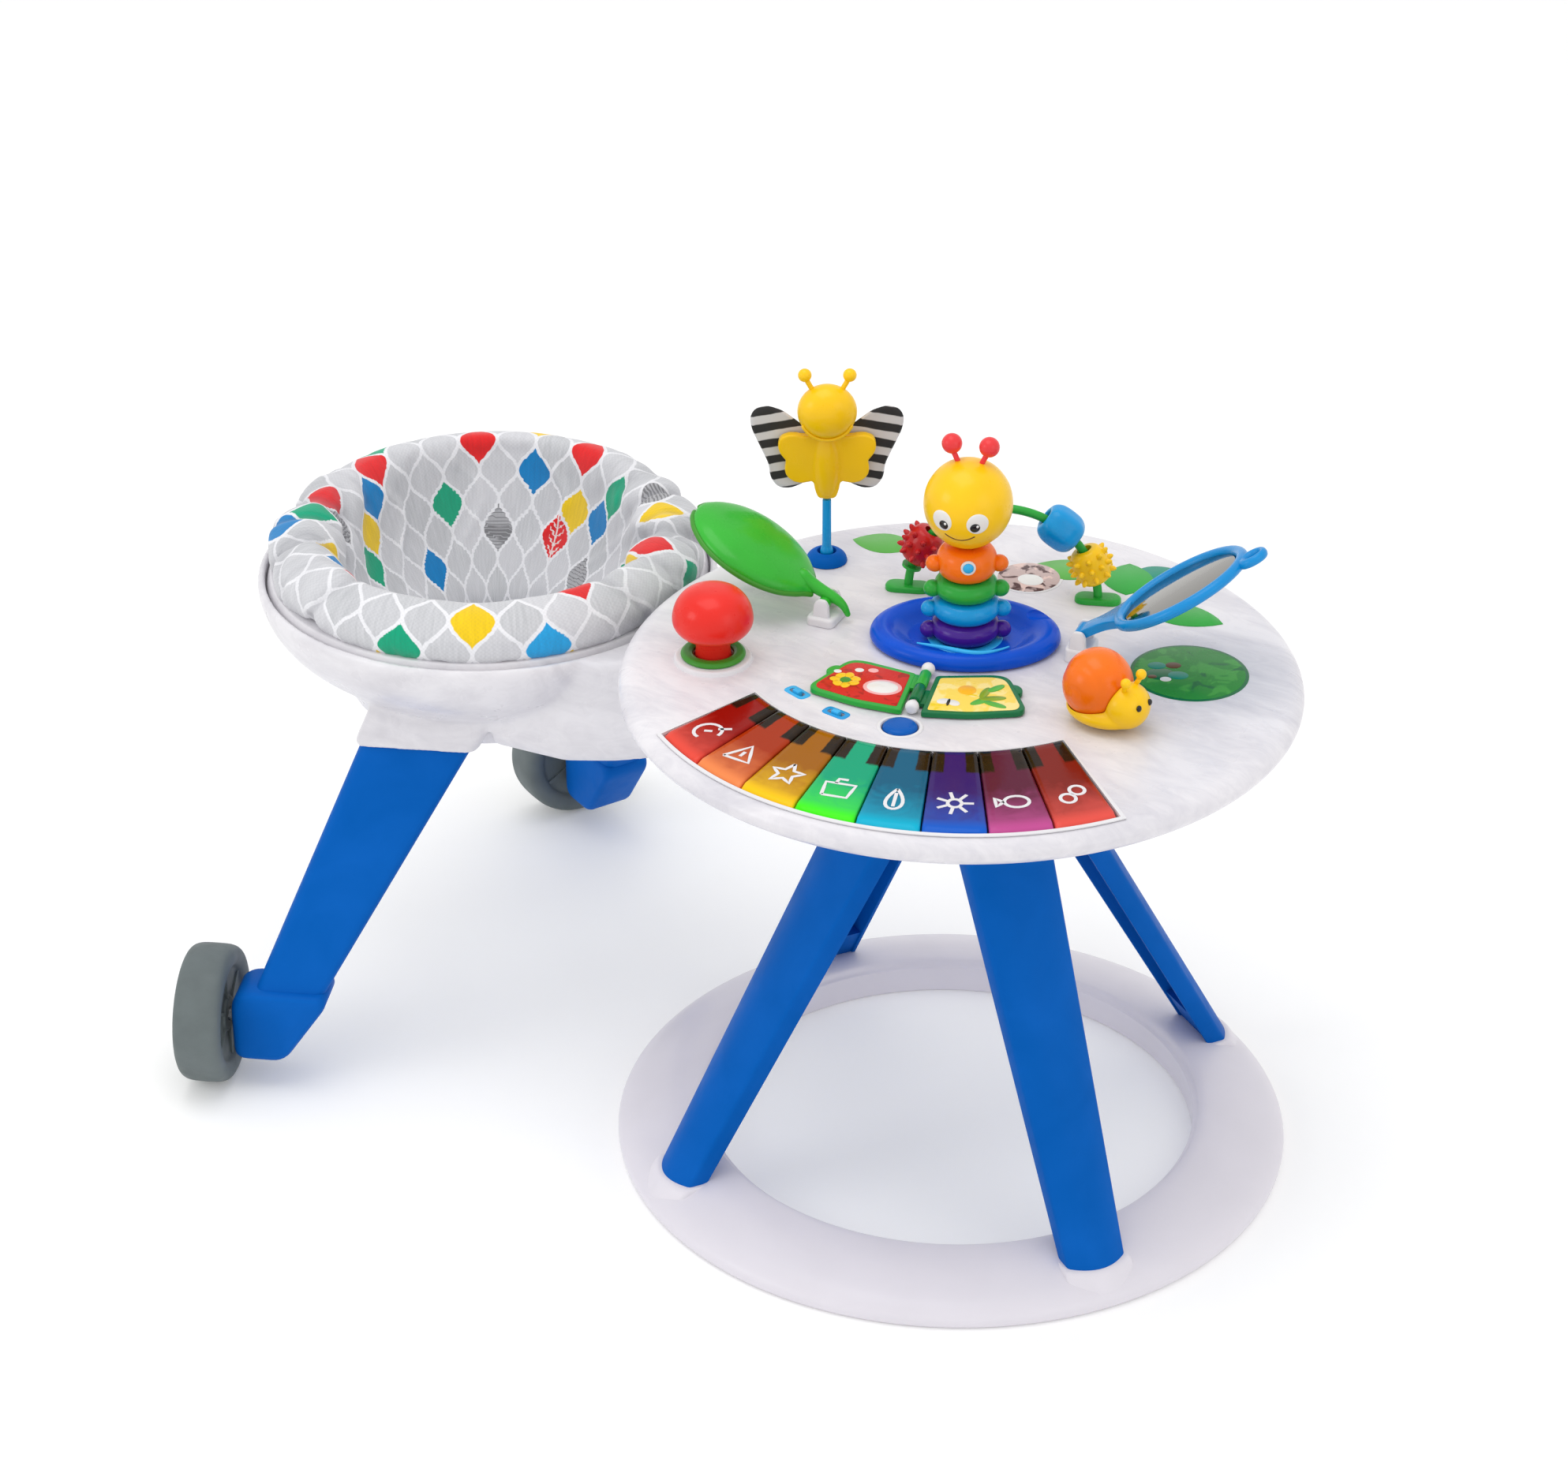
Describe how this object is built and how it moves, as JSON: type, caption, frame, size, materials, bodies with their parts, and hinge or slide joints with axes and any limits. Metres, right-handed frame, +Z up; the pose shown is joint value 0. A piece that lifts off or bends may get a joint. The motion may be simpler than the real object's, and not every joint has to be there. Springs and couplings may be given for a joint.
{
  "type": "walk-around activity table",
  "caption": "Round baby activity table on splayed legs and a floor ring, with a padded wheeled seat that walks round its axis, and toys and piano keys on top.",
  "frame": {"origin": "centre of the overall footprint, on the floor", "axes": "+X from the seat towards the table along the longest extent, +Y to the table's far side, +Z up"},
  "size_m": [1.038, 0.7248, 0.6824],
  "materials": {
    "shell": "glossy moulded white",
    "leg": "satin moulded blue",
    "wheel": "matt grey",
    "seat_fabric": "printed leaf pattern, padded",
    "wing_fabric": "striped cloth",
    "axle": "brushed",
    "mirror": "mirror",
    "electronics": "matt dark grey",
    "dish": "glossy",
    "red": "glossy",
    "orange": "glossy",
    "yellow": "glossy",
    "green": "glossy",
    "dark_green": "glossy",
    "cyan": "glossy",
    "purple": "glossy",
    "key_plastic": "translucent, each key its own colour"
  },
  "bodies": {
    "stand": {"base_ring": "shell", "table_leg_1": "leg", "table_leg_2": "leg", "table_leg_3": "leg", "table_leg_4": "leg", "hub_housing": "shell", "hub_spindle": "shell", "tabletop_tray": "shell", "tabletop_lid": "shell", "battery_box": "electronics", "battery_door": "shell", "speaker": "electronics", "stack_dish": "dish", "mushroom_collar": "green", "mirror_bracket": "shell", "leaf_bracket": "shell", "butterfly_socket": "leg", "vine_rail": "green", "book_hinge_rod": "shell"},
    "walker": {"seat_frame": "shell", "seat_leg_left": "leg", "seat_leg_right": "leg", "leg_boot_left": "leg", "leg_boot_right": "leg", "wheel_axle_left": "axle", "wheel_axle_right": "axle"},
    "seat": {"seat_ring": "shell", "seat_pad": "seat_fabric"},
    "wheel_left": {"wheel_left": "wheel"},
    "wheel_right": {"wheel_right": "wheel"},
    "stack_head": {"stack_head": "yellow"},
    "stack_ring_purple": {"stack_ring_purple": "purple"},
    "stack_ring_cyan": {"stack_ring_cyan": "cyan"},
    "stack_ring_green": {"stack_ring_green": "green"},
    "stack_ring_orange": {"stack_ring_orange": "orange"},
    "mushroom": {"mushroom_button": "red"},
    "snail": {"snail_body": "yellow", "snail_shell": "orange"},
    "mirror": {"mirror_frame": "cyan", "mirror_glass": "mirror"},
    "leaf": {"leaf_flap": "green"},
    "butterfly_stem": {"butterfly_stem": "cyan"},
    "butterfly": {"butterfly_body": "yellow", "butterfly_wings": "wing_fabric"},
    "bead_red": {"bead_red": "red"},
    "bead_blue": {"bead_blue": "cyan"},
    "bead_yellow": {"bead_yellow": "yellow"},
    "book_left": {"book_leaf_left": "green"},
    "book_right": {"book_leaf_right": "dark_green"},
    "piano_key_1": {"piano_key_1": "key_plastic"},
    "piano_key_2": {"piano_key_2": "key_plastic"},
    "piano_key_3": {"piano_key_3": "key_plastic"},
    "piano_key_4": {"piano_key_4": "key_plastic"},
    "piano_key_5": {"piano_key_5": "key_plastic"},
    "piano_key_6": {"piano_key_6": "key_plastic"},
    "piano_key_7": {"piano_key_7": "key_plastic"},
    "piano_key_8": {"piano_key_8": "key_plastic"},
    "select_button": {"select_button": "leg"},
    "power_switch": {"power_switch": "cyan"},
    "volume_switch": {"volume_switch": "cyan"}
  },
  "joints": [
    {"name": "seat_walk", "type": "hinge", "parent": "stand", "child": "walker", "pos_m": [0.209, 0, 0.4435], "axis": [0, 0, 1], "continuous": true},
    {"name": "seat_swivel", "type": "hinge", "parent": "walker", "child": "seat", "pos_m": [-0.303, 0, 0.432], "axis": [0, 0, 1], "continuous": true},
    {"name": "wheel_left_roll", "type": "hinge", "parent": "walker", "child": "wheel_left", "pos_m": [-0.42813, -0.2971, 0.066], "axis": [-0.9063, -0.4226, 0], "continuous": true},
    {"name": "wheel_right_roll", "type": "hinge", "parent": "walker", "child": "wheel_right", "pos_m": [-0.42813, 0.2971, 0.066], "axis": [-0.9063, 0.4226, 0], "continuous": true},
    {"name": "stack_ring_purple_spin", "type": "hinge", "parent": "stand", "child": "stack_ring_purple", "pos_m": [0.187, 0.046, 0.5], "axis": [0, 0, 1], "continuous": true},
    {"name": "stack_ring_cyan_spin", "type": "hinge", "parent": "stand", "child": "stack_ring_cyan", "pos_m": [0.187, 0.046, 0.52], "axis": [0, 0, 1], "continuous": true},
    {"name": "stack_ring_green_spin", "type": "hinge", "parent": "stand", "child": "stack_ring_green", "pos_m": [0.187, 0.046, 0.54], "axis": [0, 0, 1], "continuous": true},
    {"name": "stack_ring_orange_spin", "type": "hinge", "parent": "stand", "child": "stack_ring_orange", "pos_m": [0.187, 0.046, 0.565], "axis": [0, 0, 1], "continuous": true},
    {"name": "stack_head_spin", "type": "hinge", "parent": "stand", "child": "stack_head", "pos_m": [0.187, 0.046, 0.62], "axis": [0, 0, 1], "continuous": true},
    {"name": "mushroom_press", "type": "slide", "parent": "stand", "child": "mushroom", "axis": [0, 0, -1], "range_m": [0, 0.008], "stiffness_N_per_m": 400, "springref_m": -0.005},
    {"name": "snail_swivel", "type": "hinge", "parent": "stand", "child": "snail", "pos_m": [0.359, -0.018, 0.4853], "axis": [0, 0, 1], "continuous": true},
    {"name": "mirror_tilt", "type": "hinge", "parent": "stand", "child": "mirror", "pos_m": [0.288, 0.075, 0.509], "axis": [0.2079, -0.9781, 0], "range_deg": [-35, 55]},
    {"name": "leaf_tilt", "type": "hinge", "parent": "stand", "child": "leaf", "pos_m": [0.062, 0.016, 0.504], "axis": [-0.1392, 0.9903, 0], "range_deg": [-19, 7]},
    {"name": "butterfly_sway", "type": "hinge", "parent": "stand", "child": "butterfly_stem", "pos_m": [0.0015, 0.1125, 0.494], "axis": [-0.5373, 0.8434, 0], "range_deg": [-20, 20], "stiffness_Nm_per_rad": 1.5},
    {"name": "butterfly_spin", "type": "hinge", "parent": "butterfly_stem", "child": "butterfly", "pos_m": [0.0015, 0.1125, 0.55], "axis": [0, 0, 1], "continuous": true},
    {"name": "bead_red_slide", "type": "hinge", "parent": "stand", "child": "bead_red", "pos_m": [0.1727, 0.1386, 0.4867], "axis": [0.4067, -0.9135, 0], "range_deg": [-45, 0]},
    {"name": "bead_blue_slide", "type": "hinge", "parent": "stand", "child": "bead_blue", "pos_m": [0.1727, 0.1386, 0.4867], "axis": [0.4067, -0.9135, 0], "range_deg": [0, 22]},
    {"name": "bead_yellow_spin", "type": "hinge", "parent": "stand", "child": "bead_yellow", "pos_m": [0.24447, 0.17056, 0.52168], "axis": [-0.3716, -0.1654, 0.9135], "continuous": true},
    {"name": "book_left_turn", "type": "hinge", "parent": "stand", "child": "book_left", "pos_m": [0.2045, -0.0615, 0.4922], "axis": [-0.3256, 0.9455, 0], "range_deg": [0, 165]},
    {"name": "book_right_turn", "type": "hinge", "parent": "stand", "child": "book_right", "pos_m": [0.2045, -0.0615, 0.4922], "axis": [0.3256, -0.9455, 0], "range_deg": [0, 165]},
    {"name": "key_1_press", "type": "slide", "parent": "stand", "child": "piano_key_1", "axis": [0, 0, -1], "range_m": [0, 0.0025], "stiffness_N_per_m": 700, "springref_m": -0.0018},
    {"name": "key_2_press", "type": "slide", "parent": "stand", "child": "piano_key_2", "axis": [0, 0, -1], "range_m": [0, 0.0025], "stiffness_N_per_m": 700, "springref_m": -0.0018},
    {"name": "key_3_press", "type": "slide", "parent": "stand", "child": "piano_key_3", "axis": [0, 0, -1], "range_m": [0, 0.0025], "stiffness_N_per_m": 700, "springref_m": -0.0018},
    {"name": "key_4_press", "type": "slide", "parent": "stand", "child": "piano_key_4", "axis": [0, 0, -1], "range_m": [0, 0.0025], "stiffness_N_per_m": 700, "springref_m": -0.0018},
    {"name": "key_5_press", "type": "slide", "parent": "stand", "child": "piano_key_5", "axis": [0, 0, -1], "range_m": [0, 0.0025], "stiffness_N_per_m": 700, "springref_m": -0.0018},
    {"name": "key_6_press", "type": "slide", "parent": "stand", "child": "piano_key_6", "axis": [0, 0, -1], "range_m": [0, 0.0025], "stiffness_N_per_m": 700, "springref_m": -0.0018},
    {"name": "key_7_press", "type": "slide", "parent": "stand", "child": "piano_key_7", "axis": [0, 0, -1], "range_m": [0, 0.0025], "stiffness_N_per_m": 700, "springref_m": -0.0018},
    {"name": "key_8_press", "type": "slide", "parent": "stand", "child": "piano_key_8", "axis": [0, 0, -1], "range_m": [0, 0.0025], "stiffness_N_per_m": 700, "springref_m": -0.0018},
    {"name": "select_press", "type": "slide", "parent": "stand", "child": "select_button", "axis": [0, 0, -1], "range_m": [0, 0.002], "stiffness_N_per_m": 500, "springref_m": -0.002},
    {"name": "power_switch_slide", "type": "slide", "parent": "stand", "child": "power_switch", "axis": [0.9553, -0.2955, 0], "range_m": [-0.004, 0.004]},
    {"name": "volume_switch_slide", "type": "slide", "parent": "stand", "child": "volume_switch", "axis": [0.9928, -0.1197, 0], "range_m": [-0.004, 0.004]}
  ]
}
